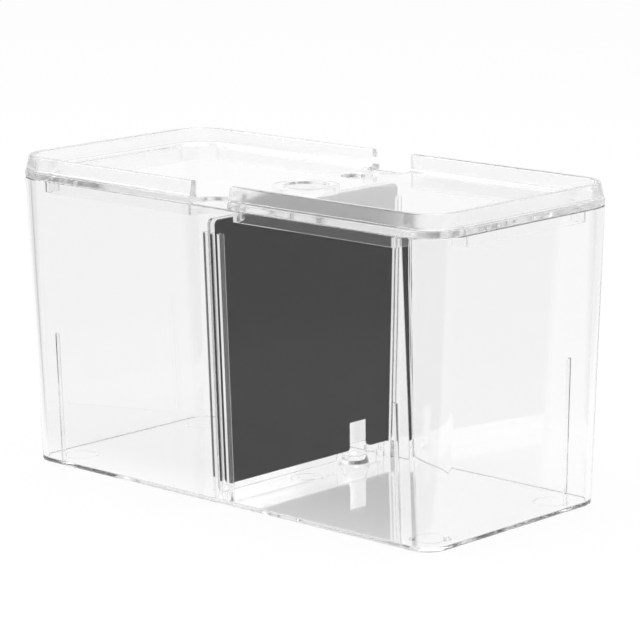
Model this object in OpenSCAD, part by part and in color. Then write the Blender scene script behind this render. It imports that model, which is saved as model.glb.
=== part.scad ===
// Two-room fish breeding box: a clear moulded tank with a lift-off clear lid
// and two sheets that slide down between guide ribs and part the tank in two.
// X runs along the tank, Y across it, Z up. The origin is the middle of the
// base, on the surface that the tank stands on. All sizes are in millimetres.

/* [Tank] */
// Outside length of the tank at its open top
top_length = 203.5; // [160:0.5:260]
// Outside width of the tank at its open top
top_width = 96.5; // [84:0.5:140]
// Height of the tank, from the table to its open top
tank_height = 104.8; // [80:0.1:150]
// Thickness of the four side walls
wall = 2; // [1.5:0.1:3]
// Thickness of the floor
floor_thickness = 1.2; // [1:0.1:3]
// How far each end wall leans in, from the open top to the base
end_lean = 5.15; // [2:0.05:6]
// How far each long wall leans in, from the open top to the base
side_lean = 3.65; // [1:0.05:5]
// Outside radius of the upright corners at the open top
corner_r_top = 14.3; // [9:0.1:16]
// Outside radius of the upright corners at the base
corner_r_base = 8.2; // [5:0.1:9]
// Rounding of the outside edge between the walls and the base
base_edge_r = 0.8; // [0.5:0.1:2.5]
// Rounding of the inside corner between the walls and the floor
floor_edge_r = 0.6; // [0.5:0.1:1.5]

/* [Guide ribs] */
// Thickness of each upright guide rib
rib_thickness = 1.2; // [0.8:0.1:2]
// How far a guide rib stands in from the long wall
rib_depth = 2.6; // [2:0.1:4]
// Distance from the open top down to the top of the guide ribs
rib_top_drop = 9.1; // [6:0.1:20]
// How far the face of a stop lies back from the faces of the ribs beside it
stop_setback = 0.4; // [0.2:0.1:1]
// Height above the floor of the stop in the clear divider's slot
clear_stop_height = 2; // [0.6:0.1:4]
// Height above the floor of the stop in the dark divider's slot
dark_stop_height = 5.8; // [0.6:0.1:10]

/* [Stiffening ribs] */
// Thickness of the short ribs near the four corners
short_rib_thickness = 0.9; // [0.6:0.1:2]
// How far a short rib stands in from the long wall
short_rib_depth = 1.4; // [1:0.1:3]
// Height of the short ribs above the floor
short_rib_height = 48; // [20:0.5:60]
// Distance from the end of the open top to the middle of a short rib
short_rib_inset = 20; // [16:0.5:30]

/* [Air line] */
// Distance from the lid's long side to the air line's hole, notches and socket
air_inset = 23.2; // [21:0.1:26]
// Diameter of the air line's hole in the lid
air_hole_d = 9.8; // [6:0.1:12]
// Outside diameter of the socket at the floor
socket_base_d = 12; // [9:0.1:14]
// Outside diameter of the socket at its top
socket_top_d = 8.7; // [8:0.1:9]
// Height of the socket above the floor
socket_height = 3.9; // [2:0.1:5]
// Diameter of the hole in the socket
socket_hole_d = 5.4; // [4:0.1:6]
// Depth of the hole in the socket
socket_hole_depth = 2.4; // [1:0.1:3]

/* [Lid] */
// Gap between the lid's plate and the tank's open top
seat_play = 0.1; // [0.05:0.05:0.4]
// Thickness of the lid's plate
plate_thickness = 1.5; // [1.2:0.1:2.5]
// Height of the lid's outer band, which is flush with the tank
band_height = 2.2; // [1.8:0.1:4]
// Height of the raised rim's top above the lid's underside
rim_height = 7.8; // [6:0.1:14]
// Width of the ledge between the band and the raised rim
ledge = 0.35; // [0.2:0.05:1]
// How far the raised rim's top outer edge lies in from the band
rim_top_inset = 1.5; // [1:0.1:3.5]
// Width of the raised rim's flat top
rim_top_width = 2; // [1:0.1:2.5]
// Size of the slope between the plate and the inside of the rim
rim_root = 1.4; // [0.5:0.1:2]
// Width of the gap in the rim at the middle of each long side
gap_width = 18.4; // [12:0.2:20]
// Distance from the band to the centre of each half-round notch
notch_inset = 2.7; // [1:0.1:3.5]
// Diameter of the feeding hole in the middle of the lid
feed_hole_d = 16.3; // [10:0.1:20]
// Outside diameter of the collar round the feeding hole
collar_d = 23.9; // [22:0.1:30]
// Depth of the collar under the plate
collar_depth = 2.5; // [1:0.1:4]

/* [Locating ribs] */
// Depth of the locating ribs under the plate
locating_depth = 4.3; // [2:0.1:8]
// Thickness of the locating ribs
locating_thickness = 1.3; // [1:0.1:2]
// Clearance between the locating ribs and the tank's walls
locating_play = 0.4; // [0.2:0.05:0.8]
// Distance from the band's corner to the end of a locating rib
locating_corner_gap = 18; // [14:0.5:30]
// Length of the turned-in end of each locating rib
locating_return = 5.5; // [3:0.5:10]
// Width of the land between a notch and the curved rib round it
notch_land = 1.2; // [0.6:0.1:2.4]

/* [Dividers] */
// Thickness of both dividers
divider_thickness = 1.5; // [1:0.1:2.5]
// Clearance between a divider and each side of its slot
slot_play = 0.35; // [0.3:0.05:0.8]
// Clearance between a divider's upright edge and the long wall
divider_edge_play = 0.75; // [0.3:0.05:1]
// Clearance between a divider's top and the locating ribs
divider_top_play = 0.3; // [0.3:0.05:2]
// Clearance between a divider's bottom and its stop
divider_stop_play = 0.3; // [0.1:0.05:1]
// Radius of the dividers' outer corners
divider_corner_r = 2; // [0.5:0.1:4]
// Width of the clear divider's notch
clear_notch_width = 15.2; // [14:0.1:20]
// Height of the clear divider's notch
clear_notch_height = 4.8; // [4:0.1:12]
// Width of the dark divider's notch
dark_notch_width = 9.7; // [4:0.1:16]
// Height of the dark divider's notch
dark_notch_height = 10.2; // [5:0.1:30]
// Radius of the corners at the notches' feet
notch_foot_r = 1.4; // [0.3:0.1:1.8]
// Radius of the corners at the notches' tops
notch_top_r = 0.4; // [0.3:0.1:1.8]

/* [Hidden] */

clear_tint = [0.93, 0.95, 0.96, 0.35];
dark_tint = [0.13, 0.13, 0.14];

$fn = 64;
corner_steps = 12;          // straight steps in each upright corner
edge_steps = 4;             // straight steps in each rounded low edge
overcut = 1;                // how far a cut runs past the face that it opens
bite = min(wall, floor_thickness) / 2; // how far ribs, stops and the socket sink in
sheet_steps = 6;            // straight steps in each rounded corner of a sheet

// Each slot takes its divider, and the ribs between the slots set their pitch
slot_width = divider_thickness + 2 * slot_play;
slot_pitch = rib_thickness + slot_width;
clear_x = -slot_pitch / 2;
dark_x = slot_pitch / 2;

rib_top = tank_height - rib_top_drop;
clear_stop = floor_thickness + clear_stop_height;
dark_stop = floor_thickness + dark_stop_height;
socket_top = floor_thickness + socket_height;
air_y = top_width / 2 - air_inset;

lid_bottom = tank_height + seat_play;
plate_top = lid_bottom + plate_thickness;
band_top = lid_bottom + band_height;
rim_top = lid_bottom + rim_height;
rim_inner_inset = rim_top_inset + rim_top_width;
locating_bottom = lid_bottom - locating_depth;
locating_height = locating_depth + plate_thickness / 2;
notch_r = gap_width / 2;
notch_y = top_width / 2 - notch_inset;

divider_top = locating_bottom - divider_top_play;
clear_bottom = clear_stop + divider_stop_play;
dark_bottom = dark_stop + divider_stop_play;

// How far a wall has leant in at a height, for its lean over the whole tank
function leant(lean, z) = lean * (tank_height - z) / tank_height;
// Half the inside length and half the inside width of the tank at a height
function inside_x(z) = top_length / 2 - wall - leant(end_lean, z);
function inside_y(z) = top_width / 2 - wall - leant(side_lean, z);
// Outside radius of the upright corners at a height
function corner_r(z) = corner_r_top - leant(corner_r_top - corner_r_base, z);

// An outline whose corners are rounded, from a list of [corner, radius]
function unit(v) = v / norm(v);
function corner_arc(before, corner, after, r) =
    let (
        to_before = unit(before - corner),
        to_after = unit(after - corner),
        half = acos(to_before * to_after) / 2,
        centre = corner + unit(to_before + to_after) * r / sin(half),
        start = unit(corner + to_before * r / tan(half) - centre),
        end = unit(corner + to_after * r / tan(half) - centre)
    )
    [for (i = [0:sheet_steps]) centre + r * unit(start * (sheet_steps - i) + end * i)];
function rounded(corners) =
    let (n = len(corners))
    [for (i = [0:n - 1])
        each corner_arc(
            corners[(i + n - 1) % n][0], corners[i][0], corners[(i + 1) % n][0], corners[i][1]
        )];

// Points round a rectangle with round corners, counterclockwise from +X
function outline(half_x, half_y, r, z) =
    [for (corner = [[1, 1, 0], [-1, 1, 90], [-1, -1, 180], [1, -1, 270]], i = [0:corner_steps])
        let (a = corner[2] + 90 * i / corner_steps)
        [corner[0] * (half_x - r) + r * cos(a), corner[1] * (half_y - r) + r * sin(a), z]];
// The tank's and the lid's outline at a height, inset all round
function tank_outline(z, inset) =
    outline(inside_x(z) + wall - inset, inside_y(z) + wall - inset, corner_r(z) - inset, z);
function lid_outline(z, inset) =
    outline(top_length / 2 - inset, top_width / 2 - inset, corner_r_top - inset, z);

// Solid through a list of outlines, lowest first
module loft(outlines) {
    n = len(outlines[0]);
    last = (len(outlines) - 1) * n;
    sides = [for (k = [0:n:last - n], i = [0:n - 1])
        let (next = (i + 1) % n)
        [k + i, k + n + i, k + n + next, k + next]];
    polyhedron(
        points = [for (points = outlines) each points],
        faces = concat([[for (i = [0:n - 1]) i], [for (i = [n - 1:-1:0]) last + i]], sides)
    );
}

// Solid inside the tank's outline, inset all round, with a rounded low edge
module tank_form(low, high, inset, edge_r) {
    loft([
        for (i = [0:edge_steps])
            let (a = 90 * i / edge_steps)
            tank_outline(low + edge_r * (1 - cos(a)), inset + edge_r * (1 - sin(a))),
        tank_outline(high, inset)
    ]);
}

// Upright ribs inside both long walls, from the floor up to a height
module wall_ribs(x, thickness, depth, top) {
    low = floor_thickness - bite;
    for (side = [0, 1])
        mirror([0, side, 0])
            translate([x - thickness / 2, 0, 0])
                rotate([90, 0, 90])
                    linear_extrude(thickness)
                        polygon([
                            [inside_y(low) + bite, low],
                            [inside_y(low) - depth, low],
                            [inside_y(top) - depth, top],
                            [inside_y(top) + bite, top],
                        ]);
}

// Round socket for an air line, moulded on the floor
module socket() {
    translate([0, air_y, 0])
        difference() {
            translate([0, 0, floor_thickness - bite])
                cylinder(d1 = socket_base_d, d2 = socket_top_d, h = socket_height + bite);
            translate([0, 0, socket_top - socket_hole_depth])
                cylinder(d = socket_hole_d, h = socket_hole_depth + overcut);
        }
}

module tank() {
    stop_width = slot_width + rib_thickness / 2;
    stop_depth = rib_depth - stop_setback;
    color(clear_tint) {
        difference() {
            tank_form(0, tank_height, 0, base_edge_r);
            tank_form(floor_thickness, tank_height + overcut, wall, floor_edge_r);
        }
        // three guide ribs on each long wall leave a slot for each divider
        for (i = [-1:1])
            wall_ribs(i * slot_pitch, rib_thickness, rib_depth, rib_top);
        // stops fill the foot of each slot, and the dividers stand on them
        wall_ribs(clear_x, stop_width, stop_depth, clear_stop);
        wall_ribs(dark_x, stop_width, stop_depth, dark_stop);
        for (side = [-1, 1])
            wall_ribs(
                side * (top_length / 2 - short_rib_inset), short_rib_thickness,
                short_rib_depth, floor_thickness + short_rib_height
            );
        socket();
    }
}

// Slab with the lid's round-cornered outline, inset all round
module lid_slab(low, high, inset) {
    r = corner_r_top - inset;
    x = top_length / 2 - corner_r_top;
    y = top_width / 2 - corner_r_top;
    translate([0, 0, low])
        linear_extrude(high - low) {
            square([2 * x, 2 * (y + r)], center = true);
            square([2 * (x + r), 2 * y], center = true);
            for (sx = [-1, 1], sy = [-1, 1])
                translate([sx * x, sy * y])
                    circle(r = r);
        }
}

// Flush band, and on it the raised rim with its sloping outside
module rim() {
    difference() {
        union() {
            lid_slab(lid_bottom, band_top, 0);
            loft([lid_outline(plate_top, ledge), lid_outline(rim_top, rim_top_inset)]);
        }
        loft([
            lid_outline(plate_top, rim_inner_inset + rim_root),
            lid_outline(plate_top + rim_root, rim_inner_inset),
            lid_outline(rim_top + overcut, rim_inner_inset)
        ]);
    }
}

// Locating rib along X with its outer face at a given Y and its ends turned in
module straight_locating_rib(from, to, face_y, turns) {
    turned = locating_thickness + locating_return;
    translate([0, 0, locating_bottom]) {
        translate([from, face_y - locating_thickness, 0])
            cube([to - from, locating_thickness, locating_height]);
        for (x = turns)
            translate([x, face_y - turned, 0])
                cube([locating_thickness, turned, locating_height]);
    }
}

// Locating rib that curves round the notch at +Y, as far as the straight ribs
module curved_locating_rib(outer_r, face_y) {
    inner_r = outer_r - locating_thickness;
    intersection() {
        translate([0, notch_y, locating_bottom])
            difference() {
                cylinder(r = outer_r, h = locating_height);
                translate([0, 0, -overcut])
                    cylinder(r = inner_r, h = locating_height + 2 * overcut);
            }
        translate([-outer_r, face_y - 2 * outer_r, locating_bottom])
            cube([2 * outer_r, 2 * outer_r, locating_height]);
    }
}

module locating_ribs() {
    long_face = inside_y(locating_bottom) - locating_play;
    end_face = inside_x(locating_bottom) - locating_play;
    long_reach = top_length / 2 - locating_corner_gap;
    end_reach = top_width / 2 - locating_corner_gap;
    curve_r = notch_r + notch_land + locating_thickness;
    // the straight ribs start inside the curved one, where it meets their face
    start = sqrt(pow(curve_r, 2) - pow(long_face - notch_y, 2)) - locating_thickness;
    for (side = [0, 1], end = [0, 1])
        mirror([0, side, 0])
            mirror([end, 0, 0])
                straight_locating_rib(
                    start, long_reach, long_face, [long_reach - locating_thickness]
                );
    for (side = [0, 1])
        mirror([0, side, 0])
            curved_locating_rib(curve_r, long_face);
    for (turn = [-90, 90])
        rotate([0, 0, turn])
            straight_locating_rib(
                -end_reach, end_reach, end_face, [-end_reach, end_reach - locating_thickness]
            );
}

// The gap in the rim at +Y, which runs on as a half-round notch in the plate
module finger_notch() {
    low = lid_bottom - overcut;
    high = rim_top + overcut;
    translate([0, notch_y, low]) {
        cylinder(r = notch_r, h = high - low);
        translate([-notch_r, 0, 0])
            cube([2 * notch_r, notch_inset + overcut, high - low]);
    }
}

module lid() {
    color(clear_tint)
        difference() {
            union() {
                lid_slab(lid_bottom, plate_top, rim_inner_inset);
                rim();
                locating_ribs();
                translate([0, 0, lid_bottom - collar_depth])
                    cylinder(d = collar_d, h = collar_depth + plate_thickness);
            }
            for (side = [0, 1])
                mirror([0, side, 0])
                    finger_notch();
            translate([0, 0, lid_bottom - collar_depth - overcut])
                cylinder(d = feed_hole_d, h = collar_depth + plate_thickness + 2 * overcut);
            translate([0, air_y, locating_bottom - overcut])
                cylinder(d = air_hole_d, h = locating_depth + plate_thickness + 2 * overcut);
        }
}

// Sheet across the tank, with a notch in its foot over the floor socket
module divider(x, bottom, notch_width, notch_height) {
    top_y = inside_y(divider_top) - divider_edge_play;
    bottom_y = inside_y(bottom) - divider_edge_play;
    notch_low = air_y - notch_width / 2;
    notch_high = air_y + notch_width / 2;
    notch_top = bottom + notch_height;
    translate([x - divider_thickness / 2, 0, 0])
        rotate([90, 0, 90])
            linear_extrude(divider_thickness)
                polygon(rounded([
                    [[-top_y, divider_top], divider_corner_r],
                    [[-bottom_y, bottom], divider_corner_r],
                    [[notch_low, bottom], notch_foot_r],
                    [[notch_low, notch_top], notch_top_r],
                    [[notch_high, notch_top], notch_top_r],
                    [[notch_high, bottom], notch_foot_r],
                    [[bottom_y, bottom], divider_corner_r],
                    [[top_y, divider_top], divider_corner_r],
                ]));
}

module clear_divider() {
    color(clear_tint)
        divider(clear_x, clear_bottom, clear_notch_width, clear_notch_height);
}

module dark_divider() {
    color(dark_tint)
        divider(dark_x, dark_bottom, dark_notch_width, dark_notch_height);
}

tank();
lid();
clear_divider();
dark_divider();
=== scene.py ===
"""Two-room fish breeding box: a clear tank, its lift-off lid and two dividers."""
import math

import bmesh
import bpy
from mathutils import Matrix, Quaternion, Vector


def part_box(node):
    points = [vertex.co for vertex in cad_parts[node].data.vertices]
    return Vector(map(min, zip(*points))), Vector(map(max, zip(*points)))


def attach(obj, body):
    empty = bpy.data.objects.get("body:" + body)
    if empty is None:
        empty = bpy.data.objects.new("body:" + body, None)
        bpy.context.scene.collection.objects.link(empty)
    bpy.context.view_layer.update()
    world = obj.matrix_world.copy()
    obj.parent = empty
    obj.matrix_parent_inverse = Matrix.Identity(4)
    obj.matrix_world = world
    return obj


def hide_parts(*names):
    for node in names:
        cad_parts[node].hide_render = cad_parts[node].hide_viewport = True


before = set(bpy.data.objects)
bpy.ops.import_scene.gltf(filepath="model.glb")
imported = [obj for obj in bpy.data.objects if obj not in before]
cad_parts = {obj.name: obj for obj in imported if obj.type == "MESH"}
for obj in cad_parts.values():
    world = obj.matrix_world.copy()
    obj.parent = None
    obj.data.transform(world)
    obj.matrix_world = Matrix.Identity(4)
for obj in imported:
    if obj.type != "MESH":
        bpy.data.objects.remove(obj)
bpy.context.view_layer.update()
scene = bpy.context.scene

# --- Studio -----------------------------------------------------------------------
# A long lens a metre away, white paper under the box and a white backdrop beyond
# it, and soft lamps above and beside it at a plain level.

camera_place = Vector((0.73926, -0.77688, 0.28392))
camera_target = Vector((0.00618, 0.0, 0.05890))
camera_roll = math.radians(-0.506)
focal_length = 174.95  # mm, on a sensor 36 mm wide

camera = bpy.data.objects.new("camera", bpy.data.cameras.new("camera"))
scene.collection.objects.link(camera)
camera.data.lens = focal_length
camera.data.sensor_width = 36.0
camera.data.clip_end = 50.0
camera.location = camera_place
camera.rotation_mode = "QUATERNION"
camera.rotation_quaternion = (
    (camera_target - camera_place).to_track_quat("-Z", "Y")
    @ Quaternion((0.0, 0.0, 1.0), camera_roll)
)
scene.camera = camera
scene.view_settings.view_transform = "Standard"

# light runs many times up and down inside a clear wall before it leaves
scene.cycles.max_bounces = 96
scene.cycles.transmission_bounces = 96
scene.cycles.glossy_bounces = 96
scene.cycles.transparent_max_bounces = 40


def linear(hex_colour):
    """An sRGB hex colour as linear RGBA."""
    channels = [int(hex_colour[i : i + 2], 16) / 255 for i in (1, 3, 5)]
    return [
        c / 12.92 if c <= 0.04045 else ((c + 0.055) / 1.055) ** 2.4 for c in channels
    ] + [1.0]


def add(tree, kind, settings=None, **links):
    """Adds a node to a tree with its settings, and links or fills its inputs.

    An input's name has _ for a space, or is in_ and the input's number.
    """
    node = tree.nodes.new(kind)
    for name, value in (settings or {}).items():
        setattr(node, name, value)
    for name, value in links.items():
        if name.startswith("in_"):
            socket = node.inputs[int(name[3:])]
        else:
            socket = node.inputs[name.replace("_", " ")]
        if isinstance(value, bpy.types.NodeSocket):
            tree.links.new(value, socket)
        else:
            socket.default_value = value
    return node


def fresh_tree(owner):
    """An empty node tree for a material or the world."""
    owner.use_nodes = True
    owner.node_tree.nodes.clear()
    return owner.node_tree


# the world holds the backdrop and the room. Mirrors and clear plastic see a white
# backdrop behind the box and a slightly darker room round it. The camera sees
# white everywhere, and diffuse surfaces are lit by one plain level
backdrop_way = Vector((-0.69, 0.72, 0.0)).normalized()
plain_light = 0.85  # strength of the world's light on diffuse surfaces
dim_room = 0.85  # strength of the room beside and above the backdrop


def away_from_strip(tree, place, fade_from, fade_to):
    """1 on a strip through the origin that runs to the backdrop, 0 beside it."""
    sideways = add(
        tree, "ShaderNodeVectorMath", {"operation": "DOT_PRODUCT"},
        in_0=place, in_1=(backdrop_way.y, -backdrop_way.x, 0.0),
    )
    distance = add(
        tree, "ShaderNodeMath", {"operation": "ABSOLUTE"}, in_0=sideways.outputs["Value"]
    )
    return add(
        tree, "ShaderNodeMapRange", {"interpolation_type": "SMOOTHSTEP"},
        Value=distance.outputs[0],
        From_Min=fade_from, From_Max=fade_to, To_Min=1.0, To_Max=0.0,
    ).outputs["Result"]


def ahead(tree, place, fade_from, fade_to):
    """0 on the near side of the origin, 1 on the backdrop's side."""
    forwards = add(
        tree, "ShaderNodeVectorMath", {"operation": "DOT_PRODUCT"},
        in_0=place, in_1=tuple(backdrop_way),
    )
    return add(
        tree, "ShaderNodeMapRange", {"interpolation_type": "SMOOTHSTEP"},
        Value=forwards.outputs["Value"],
        From_Min=fade_from, From_Max=fade_to, To_Min=0.0, To_Max=1.0,
    ).outputs["Result"]


world = bpy.data.worlds.new("studio")
scene.world = world
tree = fresh_tree(world)
path = add(tree, "ShaderNodeLightPath")
direction = add(tree, "ShaderNodeTexCoord").outputs["Generated"]
lit = add(
    tree, "ShaderNodeMath", {"operation": "MULTIPLY"},
    in_0=away_from_strip(tree, direction, fade_from=0.35, fade_to=0.85),
    in_1=ahead(tree, direction, fade_from=0.0, fade_to=0.6),
)
room = add(
    tree, "ShaderNodeMapRange", Value=lit.outputs[0], To_Min=dim_room, To_Max=1.0
)
through_or_mirrored = add(
    tree, "ShaderNodeMath", {"operation": "MAXIMUM"},
    in_0=path.outputs["Is Transmission Ray"], in_1=path.outputs["Is Glossy Ray"],
)
seen = add(
    tree, "ShaderNodeMix",
    Factor=through_or_mirrored.outputs[0], in_2=plain_light, in_3=room.outputs["Result"],
)
straight = add(
    tree, "ShaderNodeMix",
    Factor=path.outputs["Is Camera Ray"], in_2=seen.outputs[0], in_3=1.0,
)
background = add(
    tree, "ShaderNodeBackground",
    Color=(1.0, 1.0, 1.0, 1.0), Strength=straight.outputs[0],
)
add(tree, "ShaderNodeOutputWorld", Surface=background.outputs["Background"])


def soft_lamp(name, place, size, watts):
    """A square area lamp that looks at the box."""
    lamp = bpy.data.objects.new(name, bpy.data.lights.new(name, "AREA"))
    scene.collection.objects.link(lamp)
    lamp.data.size = size
    lamp.data.energy = watts
    lamp.location = place
    lamp.rotation_euler = (
        (Vector((0.0, 0.0, 0.05)) - Vector(place)).to_track_quat("-Z", "Y").to_euler()
    )


soft_lamp("overhead_lamp", (0.1, 0.1, 1.3), 0.9, 6.0)
soft_lamp("left_lamp", (-1.2, -0.7, 0.8), 0.7, 4.0)

floor_size = 12.0
floor_drop = 0.0001  # clear of the base, whose face would lie in its plane
half = floor_size / 2
floor_mesh = bpy.data.meshes.new("floor")
floor_mesh.from_pydata(
    [(-half, -half, 0), (half, -half, 0), (half, half, 0), (-half, half, 0)],
    [],
    [(0, 1, 2, 3)],
)
floor = bpy.data.objects.new("floor", floor_mesh)
floor.location.z = -floor_drop
scene.collection.objects.link(floor)

# matt white paper: nearly all of its tone is plain white, and the rest is the
# lamps' light on it, which leaves a faint shadow under the box
plain_white = 0.88
sweep = bpy.data.materials.new("white paper sweep")
tree = fresh_tree(sweep)
path = add(tree, "ShaderNodeLightPath")
place = add(tree, "ShaderNodeTexCoord").outputs["Object"]
paper = add(tree, "ShaderNodeBsdfDiffuse", Color=linear("#F2F2F2"))
white = add(tree, "ShaderNodeEmission", Color=(1.0, 1.0, 1.0, 1.0), Strength=1.0)
straight = add(
    tree, "ShaderNodeMixShader",
    in_0=plain_white, in_1=paper.outputs["BSDF"], in_2=white.outputs["Emission"],
)
# painted shade: the paper on the near side of the box is dimmer, seen through it or mirrored
dim_through = 0.65
dim_mirrored = 0.15
dim_to_y = -0.075
full_from_y = -0.045
place_y = add(tree, "ShaderNodeSeparateXYZ", Vector=place).outputs["Y"]


def shaded(level):
    """1 behind the front wall, and a level of painted shade on the near side of it."""
    return add(
        tree, "ShaderNodeMapRange", {"interpolation_type": "SMOOTHSTEP"},
        Value=place_y, From_Min=dim_to_y, From_Max=full_from_y, To_Min=level, To_Max=1.0,
    ).outputs["Result"]


# painted shadow: a thin dark line on the paper round the base, where its rounded edge keeps
# the light off
base_reach = (0.0962, 0.0442, 0.0)  # half the base's length and width, at the line
base_corner_r = 0.0078
contact_shadow_level = 0.6
contact_shadow_core = 0.0003  # distances from the line at which it is dark and gone
contact_shadow_end = 0.0008
off_corner = add(
    tree, "ShaderNodeVectorMath", {"operation": "SUBTRACT"},
    in_0=add(
        tree, "ShaderNodeVectorMath", {"operation": "ABSOLUTE"}, in_0=place
    ).outputs["Vector"],
    in_1=(base_reach[0] - base_corner_r, base_reach[1] - base_corner_r, 0.0),
)
beyond = add(
    tree, "ShaderNodeVectorMath", {"operation": "MAXIMUM"},
    in_0=off_corner.outputs["Vector"], in_1=(0.0, 0.0, 0.0),
)
from_corner = add(
    tree, "ShaderNodeVectorMath", {"operation": "LENGTH"}, in_0=beyond.outputs["Vector"]
)
from_line = add(
    tree, "ShaderNodeMath", {"operation": "SUBTRACT"},
    in_0=from_corner.outputs["Value"], in_1=base_corner_r,
)
contact_shadow = add(
    tree, "ShaderNodeMapRange", {"interpolation_type": "SMOOTHSTEP"},
    Value=add(
        tree, "ShaderNodeMath", {"operation": "ABSOLUTE"}, in_0=from_line.outputs[0]
    ).outputs[0],
    From_Min=contact_shadow_core, From_Max=contact_shadow_end, To_Min=contact_shadow_level, To_Max=1.0,
)

# seen through plastic, the paper is brightest on a strip that runs back from the box: painted
# light on the strip and painted shade beside it
beside_strip = 0.88
strip = add(
    tree, "ShaderNodeMapRange",
    Value=away_from_strip(tree, place, fade_from=0.17, fade_to=0.32),
    To_Min=beside_strip, To_Max=1.0,
)
# the painted contact shadow and the painted strip together set how bright the paper is seen
# through plastic
contact_shadow_and_strip = add(
    tree, "ShaderNodeMath", {"operation": "MULTIPLY"},
    in_0=contact_shadow.outputs["Result"], in_1=strip.outputs["Result"],
)
through_level = add(
    tree, "ShaderNodeMath", {"operation": "MULTIPLY"},
    in_0=shaded(dim_through), in_1=contact_shadow_and_strip.outputs[0],
)
lit_strip = add(
    tree, "ShaderNodeEmission",
    Color=(1.0, 1.0, 1.0, 1.0), Strength=through_level.outputs[0],
)
through = add(
    tree, "ShaderNodeMixShader",
    in_0=plain_white, in_1=paper.outputs["BSDF"], in_2=lit_strip.outputs["Emission"],
)
mirror_level = add(
    tree, "ShaderNodeMath", {"operation": "MULTIPLY"},
    in_0=shaded(dim_mirrored), in_1=strip.outputs["Result"],
)
mirrored = add(
    tree, "ShaderNodeEmission",
    Color=(1.0, 1.0, 1.0, 1.0), Strength=mirror_level.outputs[0],
)
diffuse_or_straight = add(
    tree, "ShaderNodeMixShader",
    in_0=path.outputs["Is Camera Ray"],
    in_1=paper.outputs["BSDF"], in_2=straight.outputs["Shader"],
)
or_mirrored = add(
    tree, "ShaderNodeMixShader",
    in_0=path.outputs["Is Glossy Ray"],
    in_1=diffuse_or_straight.outputs["Shader"], in_2=mirrored.outputs["Emission"],
)
or_through = add(
    tree, "ShaderNodeMixShader",
    in_0=path.outputs["Is Transmission Ray"],
    in_1=or_mirrored.outputs["Shader"], in_2=through.outputs["Shader"],
)
add(tree, "ShaderNodeOutputMaterial", Surface=or_through.outputs["Shader"])
floor_mesh.materials.append(sweep)


# --- Tank -------------------------------------------------------------------------
# One shot of clear polystyrene. The walls lean in towards the base so that the
# moulding leaves its tool, and ribs, slot stops and the socket are part of it.

tank_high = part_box("tank")[1]
tank_height = tank_high.z
wall = 0.0020
floor_thickness = 0.0012
sink = floor_thickness / 2  # how far ribs, stops and the socket sink in
end_lean = 0.00515
side_lean = 0.00365
corner_r_top = 0.0143
corner_r_base = 0.0082
base_edge_r = 0.0008
floor_edge_r = 0.0006
lip_r = 0.0005  # rounding of the open top's two edges
corner_steps = 40
rib_edge_r = 0.00025
rib_thickness = 0.0012
rib_depth = 0.0026
rib_top = tank_height - 0.0091
rib_top_r = 0.0010
slot_width = 0.0022
slot_pitch = rib_thickness + slot_width
stop_setback = 0.0004
stop_top_r = 0.0003
clear_stop_top = 0.0032
dark_stop_top = 0.0070
short_rib_x = tank_high.x - 0.0200
short_rib_thickness = 0.0009
short_rib_depth = 0.0014
short_rib_top = 0.0492
short_rib_top_r = 0.0008
air_y = tank_high.y - 0.0232  # the air line's socket, hole and notches lie in line


def leant(lean, z):
    """How far a wall has leant in at a height."""
    return lean * (tank_height - z) / tank_height


def inside_y(z):
    """Half the inside width of the tank at a height."""
    return tank_high.y - wall - leant(side_lean, z)


def outline(half_x, half_y, radius, z):
    """Points round a rectangle with round corners, counterclockwise."""
    points = []
    for sx, sy, start in ((1, 1, 0), (-1, 1, 90), (-1, -1, 180), (1, -1, 270)):
        for i in range(corner_steps + 1):
            a = math.radians(start + 90 * i / corner_steps)
            points.append(
                (
                    sx * (half_x - radius) + radius * math.cos(a),
                    sy * (half_y - radius) + radius * math.sin(a),
                    z,
                )
            )
    return points


def tank_outline(z, inset):
    """The tank's outline at a height, inset all round."""
    return outline(
        tank_high.x - leant(end_lean, z) - inset,
        tank_high.y - leant(side_lean, z) - inset,
        corner_r_top - leant(corner_r_top - corner_r_base, z) - inset,
        z,
    )


def quarter(steps, start=0, end=90):
    """Angles in radians along a rounded edge."""
    return [math.radians(start + (end - start) * i / steps) for i in range(steps + 1)]


def new_piece(name, verts, faces):
    """An object at the origin from points and faces, with its faces outwards."""
    mesh = bpy.data.meshes.new(name)
    mesh.from_pydata(verts, [], faces)
    shape = bmesh.new()
    shape.from_mesh(mesh)
    bmesh.ops.remove_doubles(shape, verts=shape.verts, dist=1e-7)
    bmesh.ops.recalc_face_normals(shape, faces=shape.faces)
    shape.to_mesh(mesh)
    shape.free()
    piece = bpy.data.objects.new(name, mesh)
    scene.collection.objects.link(piece)
    return piece


def loft(name, rings, closed=False):
    """A closed solid through rings of as many points each, capped at both ends.

    If it's closed, the last ring is joined to the first instead.
    """
    n = len(rings[0])
    faces = []
    if not closed:
        faces = [tuple(range(n)), tuple(range((len(rings) - 1) * n, len(rings) * n))]
    for k in range(len(rings) if closed else len(rings) - 1):
        low, high = k * n, (k + 1) % len(rings) * n
        for i in range(n):
            j = (i + 1) % n
            faces.append((low + i, low + j, high + j, high + i))
    return new_piece(name, [p for ring in rings for p in ring], faces)


def turned(name, profile, centre, steps=64, ring=False):
    """A closed solid turned about an upright axis from (radius, z) points.

    The profile's ends are capped, or joined to each other for a ring.
    """
    rings = []
    for radius, z in profile:
        rings.append(
            [
                (
                    centre[0] + radius * math.cos(2 * math.pi * i / steps),
                    centre[1] + radius * math.sin(2 * math.pi * i / steps),
                    z,
                )
                for i in range(steps)
            ]
        )
    return loft(name, rings, ring)


def apply_modifiers(piece):
    """Makes what a piece's modifiers show its own mesh."""
    depsgraph = bpy.context.evaluated_depsgraph_get()
    mesh = bpy.data.meshes.new_from_object(piece.evaluated_get(depsgraph))
    old = piece.data
    piece.modifiers.clear()
    piece.data = mesh
    mesh.name = piece.name
    bpy.data.meshes.remove(old)


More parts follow.
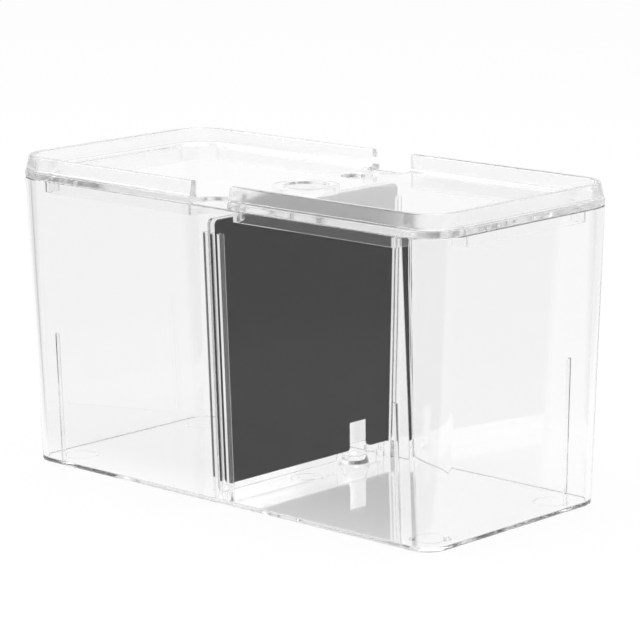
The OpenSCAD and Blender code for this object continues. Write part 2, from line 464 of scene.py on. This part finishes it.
def combine(piece, other, operation):
    """Joins other into piece, or cuts it away, and removes it."""
    modifier = piece.modifiers.new("combine", "BOOLEAN")
    modifier.operation = operation
    modifier.solver = "EXACT"
    modifier.object = other
    apply_modifiers(piece)
    mesh = other.data
    bpy.data.objects.remove(other)
    bpy.data.meshes.remove(mesh)


shell_rings = [
    tank_outline(base_edge_r * (1 - math.cos(a)), base_edge_r * (1 - math.sin(a)))
    for a in quarter(5)
]
shell_rings += [
    tank_outline(tank_height - lip_r * (1 - math.sin(a)), lip_r * (1 - math.cos(a)))
    for a in quarter(3)
]
shell_rings += [
    tank_outline(tank_height - lip_r * (1 - math.cos(a)), wall - lip_r * (1 - math.sin(a)))
    for a in quarter(3)
]
shell_rings += [
    tank_outline(
        floor_thickness + floor_edge_r * (1 - math.sin(a)),
        wall + floor_edge_r * (1 - math.cos(a)),
    )
    for a in quarter(4)
]
tank = loft("tank_moulding", shell_rings)


def wall_rib(name, x, thickness, depth, top, top_r, side=1):
    """An upright rib that follows the lean of the +Y wall, or of the -Y wall."""
    edge_r = min(rib_edge_r, thickness / 3)
    rings = []
    low = floor_thickness - sink
    levels = [(low, 0.0)] + [
        (top - top_r * (1 - math.sin(a)), top_r * (1 - math.cos(a))) for a in quarter(5)
    ]
    for z, back in levels:
        root = inside_y(z) + sink
        nose = inside_y(z) - depth + back
        half = thickness / 2
        ring = [(x - half, side * root, z), (x + half, side * root, z)]
        for a in quarter(3):
            ring.append(
                (
                    x + half - edge_r * (1 - math.cos(a)),
                    side * (nose + edge_r * (1 - math.sin(a))),
                    z,
                )
            )
        for a in reversed(quarter(3)):
            ring.append(
                (
                    x - half + edge_r * (1 - math.cos(a)),
                    side * (nose + edge_r * (1 - math.sin(a))),
                    z,
                )
            )
        rings.append(ring)
    return loft(name, rings)


def row_tree(name):
    """Geometry Nodes that repeat a rib in a row and turn the row to the far wall."""
    tree = bpy.data.node_groups.new(name, "GeometryNodeTree")
    face = tree.interface
    face.new_socket("Rib", in_out="INPUT", socket_type="NodeSocketGeometry")
    face.new_socket("Count", in_out="INPUT", socket_type="NodeSocketInt")
    face.new_socket("Pitch", in_out="INPUT", socket_type="NodeSocketFloat")
    face.new_socket("Material", in_out="INPUT", socket_type="NodeSocketMaterial")
    face.new_socket("Ribs", in_out="OUTPUT", socket_type="NodeSocketGeometry")
    inside = tree.nodes.new("NodeGroupInput").outputs
    gaps = add(tree, "ShaderNodeMath", {"operation": "SUBTRACT"}, in_0=inside["Count"], in_1=1)
    reach = add(
        tree, "ShaderNodeMath", {"operation": "MULTIPLY"},
        in_0=gaps.outputs[0], in_1=inside["Pitch"],
    )
    half_reach = add(
        tree, "ShaderNodeMath", {"operation": "MULTIPLY"}, in_0=reach.outputs[0], in_1=-0.5
    )
    first = add(tree, "ShaderNodeCombineXYZ", X=half_reach.outputs[0])
    step = add(tree, "ShaderNodeCombineXYZ", X=inside["Pitch"])
    places = add(
        tree, "GeometryNodeMeshLine", {"mode": "OFFSET"},
        Count=inside["Count"], Start_Location=first.outputs[0], Offset=step.outputs[0],
    )
    ribs = add(
        tree, "GeometryNodeInstanceOnPoints", Points=places.outputs["Mesh"],
        Instance=inside["Rib"],
    )
    round_again = add(
        tree, "GeometryNodeTransform", Geometry=ribs.outputs["Instances"],
        Rotation=(0.0, 0.0, math.pi),
    )
    both = tree.nodes.new("GeometryNodeJoinGeometry")
    for source in (ribs.outputs["Instances"], round_again.outputs["Geometry"]):
        tree.links.new(source, both.inputs["Geometry"])
    real = add(tree, "GeometryNodeRealizeInstances", Geometry=both.outputs["Geometry"])
    painted = add(
        tree, "GeometryNodeSetMaterial", Geometry=real.outputs["Geometry"],
        Material=inside["Material"],
    )
    out = tree.nodes.new("NodeGroupOutput")
    tree.links.new(painted.outputs["Geometry"], out.inputs["Ribs"])
    return tree


rib_row = row_tree("rib row")


def clear_polystyrene():
    """General-purpose polystyrene, moulded in a polished tool.

    It is as clear as glass and bends light more, so its edges gather the grey
    that the thin walls don't show. The cooling plastic leaves faint ripples
    18 mm apart, and the lid's raised rim is less polished, so it looks milky.
    """
    ripple_mm = 18.2
    rim_foot = 0.1070  # heights between which the polish ends
    rim_full = 0.1074
    material = bpy.data.materials.new("clear moulded polystyrene")
    tree = fresh_tree(material)
    place = add(tree, "ShaderNodeTexCoord")
    ripple = add(
        tree, "ShaderNodeTexNoise",
        Vector=place.outputs["Object"], Scale=1000 / ripple_mm, Detail=1.0,
    )
    bump = add(
        tree, "ShaderNodeBump", Strength=0.05, Distance=0.0002,
        Height=ripple.outputs["Fac"],
    )
    height = add(tree, "ShaderNodeSeparateXYZ", Vector=place.outputs["Object"])
    polish = add(
        tree, "ShaderNodeMapRange", Value=height.outputs["Z"],
        From_Min=rim_foot, From_Max=rim_full, To_Min=0.02, To_Max=0.16,
    )
    body = add(
        tree, "ShaderNodeBsdfPrincipled",
        Base_Color=(1.0, 1.0, 1.0, 1.0), IOR=1.59, Roughness=polish.outputs["Result"],
        Specular_IOR_Level=0.32, Transmission_Weight=1.0, Normal=bump.outputs["Normal"],
    )
    absorb = add(
        tree, "ShaderNodeVolumeAbsorption", Color=linear("#DBDBDB"), Density=7.0
    )
    # light on the paper and the dark sheet comes straight through, so that the
    # box's shadow is as faint as that of thin clear walls
    path = add(tree, "ShaderNodeLightPath")
    lets_light = add(tree, "ShaderNodeBsdfTransparent", Color=linear("#F4F4F4"))
    unseen = add(
        tree, "ShaderNodeMath", {"operation": "MAXIMUM"},
        in_0=path.outputs["Is Shadow Ray"], in_1=path.outputs["Is Diffuse Ray"],
    )
    surface = add(
        tree, "ShaderNodeMixShader", in_0=unseen.outputs[0],
        in_1=body.outputs["BSDF"], in_2=lets_light.outputs["BSDF"],
    )
    add(
        tree, "ShaderNodeOutputMaterial", Surface=surface.outputs["Shader"],
        Volume=absorb.outputs["Volume"],
    )
    return material


clear_plastic = clear_polystyrene()


def rib_rows(rib, count, pitch):
    """Repeats a rib along both long walls, by the Geometry Nodes above."""
    modifier = rib.modifiers.new("row", "NODES")
    modifier.node_group = rib_row
    inputs = {
        s.name: s.identifier
        for s in rib_row.interface.items_tree
        if s.item_type == "SOCKET" and s.in_out == "INPUT"
    }
    modifier[inputs["Count"]] = count
    modifier[inputs["Pitch"]] = pitch
    modifier[inputs["Material"]] = clear_plastic
    apply_modifiers(rib)
    return rib


guide = wall_rib("guide_rib", 0.0, rib_thickness, rib_depth, rib_top, rib_top_r)
combine(tank, rib_rows(guide, 3, slot_pitch), "UNION")
short = wall_rib(
    "short_rib", 0.0, short_rib_thickness, short_rib_depth, short_rib_top, short_rib_top_r
)
combine(tank, rib_rows(short, 2, 2 * short_rib_x), "UNION")
stop_depth = rib_depth - stop_setback
stop_width = slot_width + rib_thickness / 2
for side in (-1, 1):
    for x, top in ((-slot_pitch / 2, clear_stop_top), (slot_pitch / 2, dark_stop_top)):
        stop = wall_rib("slot_stop", x, stop_width, stop_depth, top, stop_top_r, side)
        combine(tank, stop, "UNION")

socket_top = floor_thickness + 0.0039
socket_foot_r = 0.0060
socket_top_r = 0.0041
socket_bore_r = 0.0027
socket_bore_depth = 0.0024
bore_draft = 0.0001
socket = turned(
    "socket",
    [
        (socket_foot_r, floor_thickness - sink),
        (socket_top_r + 0.00035, socket_top - 0.0003),
        (socket_top_r + 0.00025, socket_top - 0.0001),
        (socket_top_r, socket_top),
        (socket_bore_r + 0.0002, socket_top),
        (socket_bore_r, socket_top - 0.0002),
        (socket_bore_r - bore_draft, socket_top - socket_bore_depth),
    ],
    (0.0, air_y),
)
combine(tank, socket, "UNION")


def underside_groove(name, inner, outer, depth, centre):
    """A ring to be cut into the underside, as ejector pins and the gate leave one."""
    low = -0.001
    slope = 0.00028
    profile = [
        (outer, low),
        (outer, 0.0),
        (outer - slope, depth),
        (inner + slope, depth),
        (inner, 0.0),
        (inner, low),
    ]
    return turned(name, profile, centre, ring=True)


pin_x = 0.0845
pin_y = 0.0310
pin_mark = underside_groove(
    "pin_mark", inner=0.0055, outer=0.0063, depth=0.00020, centre=(0.0, pin_y)
)
combine(tank, rib_rows(pin_mark, 2, 2 * pin_x), "DIFFERENCE")
gate_mark = underside_groove(
    "gate_mark", inner=0.00315, outer=0.00585, depth=0.00025, centre=(0.0, 0.0)
)
combine(tank, gate_mark, "DIFFERENCE")


def finish(piece, angle=28.0):
    """Smooth shading over rounded edges that leaves the flat faces flat."""
    mesh = piece.data
    shape = bmesh.new()
    shape.from_mesh(mesh)
    bmesh.ops.remove_doubles(shape, verts=shape.verts, dist=2e-6)
    bmesh.ops.dissolve_degenerate(shape, dist=1e-6, edges=shape.edges)
    shape.to_mesh(mesh)
    shape.free()
    mesh.shade_smooth()
    mesh.set_sharp_from_angle(angle=math.radians(angle))
    weighted = piece.modifiers.new("flat faces", "WEIGHTED_NORMAL")
    weighted.keep_sharp = True
    apply_modifiers(piece)
    piece.data.materials.clear()


finish(tank)
tank.data.materials.append(clear_plastic)
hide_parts("tank")
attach(tank, "tank")


# --- Dividers ---------------------------------------------------------------------
# Two flat sheets, one clear and one dark. Each slides down its slot on to the
# stops, and the notch in its foot stands over the socket.

notch_foot_r = 0.0014
notch_top_r = 0.0004
clear_notch_width = 0.0152
clear_notch_height = 0.0048
dark_notch_width = 0.0097
dark_notch_height = 0.0102
divider_corner_r = 0.0020
sheet_edge_r = 0.0002
edge_play = 0.00075  # between a sheet's edge and the long wall


def rounded(corners, steps=6):
    """An outline whose corners are rounded, from (point, radius) pairs."""
    points = []
    for i, (corner, radius) in enumerate(corners):
        before = (Vector(corners[i - 1][0]) - Vector(corner)).normalized()
        after = (Vector(corners[(i + 1) % len(corners)][0]) - Vector(corner)).normalized()
        half = before.angle(after) / 2
        centre = Vector(corner) + (before + after).normalized() * radius / math.sin(half)
        start = (Vector(corner) + before * radius / math.tan(half) - centre).normalized()
        end = (Vector(corner) + after * radius / math.tan(half) - centre).normalized()
        for k in range(steps + 1):
            points.append(centre + start.slerp(end, k / steps) * radius)
    return points


def sheet_piece(name, node, notch_width, notch_height):
    """A flat moulded sheet with a notch in its foot, inside its CAD solid's box."""
    low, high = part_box(node)
    top_y = inside_y(high.z) - edge_play
    bottom_y = inside_y(low.z) - edge_play
    left, right = air_y - notch_width / 2, air_y + notch_width / 2
    notch_top = low.z + notch_height
    corners = [
        ((-top_y, high.z), divider_corner_r),
        ((-bottom_y, low.z), divider_corner_r),
        ((left, low.z), notch_foot_r),
        ((left, notch_top), notch_top_r),
        ((right, notch_top), notch_top_r),
        ((right, low.z), notch_foot_r),
        ((bottom_y, low.z), divider_corner_r),
        ((top_y, high.z), divider_corner_r),
    ]
    points = rounded(corners)
    sheet = loft(name, [[(x, p.x, p.y) for p in points] for x in (low.x, high.x)])
    bevel = sheet.modifiers.new("edge", "BEVEL")
    bevel.width = sheet_edge_r
    bevel.segments = 2
    bevel.limit_method = "ANGLE"
    bevel.angle_limit = math.radians(50)
    apply_modifiers(sheet)
    finish(sheet, 40.0)
    return sheet


def dark_polystyrene():
    """Polystyrene coloured dark grey through and moulded in a polished tool.

    It mirrors the room softly, and fine scuffs from sliding dull it a little.
    Real scuffs are too fine to show here, so they are drawn 2 to 17 mm across.
    """
    scuff_mm = 16.7
    material = bpy.data.materials.new("dark moulded polystyrene")
    tree = fresh_tree(material)
    place = add(tree, "ShaderNodeTexCoord")
    scuffs = add(
        tree, "ShaderNodeTexNoise",
        Vector=place.outputs["Object"], Scale=1000 / scuff_mm, Detail=3.0,
    )
    dullness = add(
        tree, "ShaderNodeMapRange", Value=scuffs.outputs["Fac"], To_Min=0.08, To_Max=0.12
    )
    body = add(
        tree, "ShaderNodeBsdfPrincipled",
        Base_Color=linear("#0D0D0E"), IOR=1.59, Roughness=dullness.outputs["Result"],
        Specular_IOR_Level=0.16,
    )
    add(tree, "ShaderNodeOutputMaterial", Surface=body.outputs["BSDF"])
    return material


clear_divider = sheet_piece(
    "clear_divider_sheet", "clear_divider", clear_notch_width, clear_notch_height
)
clear_divider.data.materials.append(clear_plastic)
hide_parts("clear_divider")
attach(clear_divider, "clear_divider")

dark_divider = sheet_piece(
    "dark_divider_sheet", "dark_divider", dark_notch_width, dark_notch_height
)
dark_divider.data.materials.append(dark_polystyrene())
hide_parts("dark_divider")
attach(dark_divider, "dark_divider")


# --- Lid --------------------------------------------------------------------------
# One shot of the same clear polystyrene, laid on the tank's open top. A raised
# rim stiffens the plate, and ribs under it keep the lid in place.

lid_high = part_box("lid")[1]
seat_play = 0.0001
lid_bottom = tank_height + seat_play
plate_thickness = 0.0015
plate_top = lid_bottom + plate_thickness
band_top = lid_bottom + 0.0022
band_foot_r = 0.00045
band_edge_r = 0.00025
ledge = 0.00035  # how far the rim's foot stands in from the band's face
rim_top = lid_high.z
rim_outer_inset = 0.0014
rim_inner_inset = 0.0035
rim_root_r = 0.0014
rim_edge_r = 0.0006
notch_r = 0.0092
notch_y = lid_high.y - 0.0027
overcut = 0.001


def lid_outline(z, inset):
    """The lid's outline, inset all round."""
    return outline(lid_high.x - inset, lid_high.y - inset, corner_r_top - inset, z)


lid_rings = [
    lid_outline(
        lid_bottom + band_foot_r * (1 - math.cos(a)), band_foot_r * (1 - math.sin(a))
    )
    for a in quarter(4)
]
lid_rings += [
    lid_outline(
        band_top - band_edge_r * (1 - math.sin(a)), band_edge_r * (1 - math.cos(a))
    )
    for a in quarter(3)
]
lid_rings.append(lid_outline(band_top, ledge))
lid_rings += [
    lid_outline(
        rim_top - rim_edge_r * (1 - math.sin(a)),
        rim_outer_inset + rim_edge_r * (1 - math.cos(a)),
    )
    for a in quarter(4)
]
lid_rings += [
    lid_outline(
        rim_top - rim_edge_r * (1 - math.cos(a)),
        rim_inner_inset - rim_edge_r * (1 - math.sin(a)),
    )
    for a in quarter(4)
]
lid_rings += [
    lid_outline(
        plate_top + rim_root_r * (1 - math.sin(a)),
        rim_inner_inset + rim_root_r * (1 - math.cos(a)),
    )
    for a in quarter(6)
]
lid = loft("lid_moulding", lid_rings)


def wall_along(name, path, thickness, low, high):
    """An upright wall along a path of (x, y) points, which run down its middle."""
    sides = ([], [])
    for i, point in enumerate(path):
        here = Vector(point)
        before = (here - Vector(path[i - 1])).normalized() if i else None
        after = (Vector(path[i + 1]) - here).normalized() if i + 1 < len(path) else None
        along = ((before or after) + (after or before)).normalized()
        across = Vector((-along.y, along.x))
        stretch = 1 / max(0.3, along.dot(after or before))
        for side, points in zip((1, -1), sides):
            points.append(here + across * side * stretch * thickness / 2)
    ring = sides[0] + sides[1][::-1]
    return loft(name, [[(p.x, p.y, z) for p in ring] for z in (low, high)])


locating_low = lid_bottom - 0.0043
locating_high = lid_bottom + plate_thickness / 2
locating_thickness = 0.0013
locating_play = 0.0004
locating_return = 0.0055
locating_end_inset = 0.0180
notch_land = 0.0012
long_line = inside_y(locating_low) - locating_play - locating_thickness / 2
end_line = (
    tank_high.x - wall - leant(end_lean, locating_low) - locating_play
    - locating_thickness / 2
)
long_reach = tank_high.x - locating_end_inset - locating_thickness / 2
end_reach = tank_high.y - locating_end_inset - locating_thickness / 2
curve_r = notch_r + notch_land + locating_thickness / 2
meet = math.asin(min(1.0, (long_line - notch_y) / curve_r))
for side in (-1, 1):
    curve = [
        (curve_r * math.cos(a), notch_y + curve_r * math.sin(a))
        for a in quarter(24, math.degrees(meet), -180 - math.degrees(meet))
    ]
    path_points = (
        [(long_reach, long_line - locating_return), (long_reach, long_line)]
        + curve
        + [(-long_reach, long_line), (-long_reach, long_line - locating_return)]
    )
    path_points = [(x, side * y) for x, y in path_points]
    rib = wall_along(
        "locating_rib", path_points, locating_thickness, locating_low, locating_high
    )
    combine(lid, rib, "UNION")
    path_points = [
        (side * (end_line - locating_return), -end_reach),
        (side * end_line, -end_reach),
        (side * end_line, end_reach),
        (side * (end_line - locating_return), end_reach),
    ]
    rib = wall_along(
        "locating_rib", path_points, locating_thickness, locating_low, locating_high
    )
    combine(lid, rib, "UNION")

collar_low = lid_bottom - 0.0025
collar_r = 0.01195
collar = turned(
    "collar",
    [
        (collar_r - 0.0003, collar_low),
        (collar_r - 0.00005, collar_low + 0.0001),
        (collar_r, collar_low + 0.0003),
        (collar_r, locating_high),
    ],
    (0.0, 0.0),
)
combine(lid, collar, "UNION")


def hole(radius, low, high, centre):
    """Cuts a round hole with softened edges in the lid."""
    flare = 0.0003
    profile = [(radius + flare, low - overcut)]
    profile += [
        (radius + flare * (1 - math.sin(a)), low + flare * (1 - math.cos(a)))
        for a in quarter(3)
    ]
    profile += [
        (radius + flare * (1 - math.cos(a)), high - flare * (1 - math.sin(a)))
        for a in quarter(3)
    ]
    profile.append((radius + flare, high + overcut))
    combine(lid, turned("hole", profile, centre), "DIFFERENCE")


feed_r = 0.00815
air_r = 0.0049
hole(feed_r, collar_low, plate_top, (0.0, 0.0))
hole(air_r, lid_bottom, plate_top, (0.0, air_y))

end_r = 0.0008  # rounding of the rim's top corners at each gap
gap_foot = plate_top + 0.00005
mouth_top = plate_top + 0.0006
gap_inner_y = lid_high.y - rim_inner_inset - rim_root_r - 0.0002
outer_y = lid_high.y + overcut
for side in (-1, 1):
    notch = turned(
        "notch",
        [(notch_r, lid_bottom - overcut), (notch_r, rim_top + overcut)],
        (0.0, side * notch_y),
    )
    combine(lid, notch, "DIFFERENCE")
    flared = [(-notch_r, gap_foot), (notch_r, gap_foot)]
    flared += [
        (notch_r + end_r * (1 - math.cos(a)), rim_top - end_r * (1 - math.sin(a)))
        for a in quarter(4)
    ]
    flared += [(notch_r + end_r, rim_top + overcut), (-notch_r - end_r, rim_top + overcut)]
    flared += [
        (-notch_r - end_r * (1 - math.cos(a)), rim_top - end_r * (1 - math.sin(a)))
        for a in reversed(quarter(4))
    ]
    gap = loft(
        "gap", [[(x, side * y, z) for x, z in flared] for y in (gap_inner_y, outer_y)]
    )
    combine(lid, gap, "DIFFERENCE")
    mouth = [
        (-notch_r, lid_bottom - overcut),
        (notch_r, lid_bottom - overcut),
        (notch_r, mouth_top),
        (-notch_r, mouth_top),
    ]
    opening = loft(
        "mouth", [[(x, side * y, z) for x, z in mouth] for y in (notch_y, outer_y)]
    )
    combine(lid, opening, "DIFFERENCE")

finish(lid)
lid.data.materials.append(clear_plastic)
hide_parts("lid")
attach(lid, "lid")
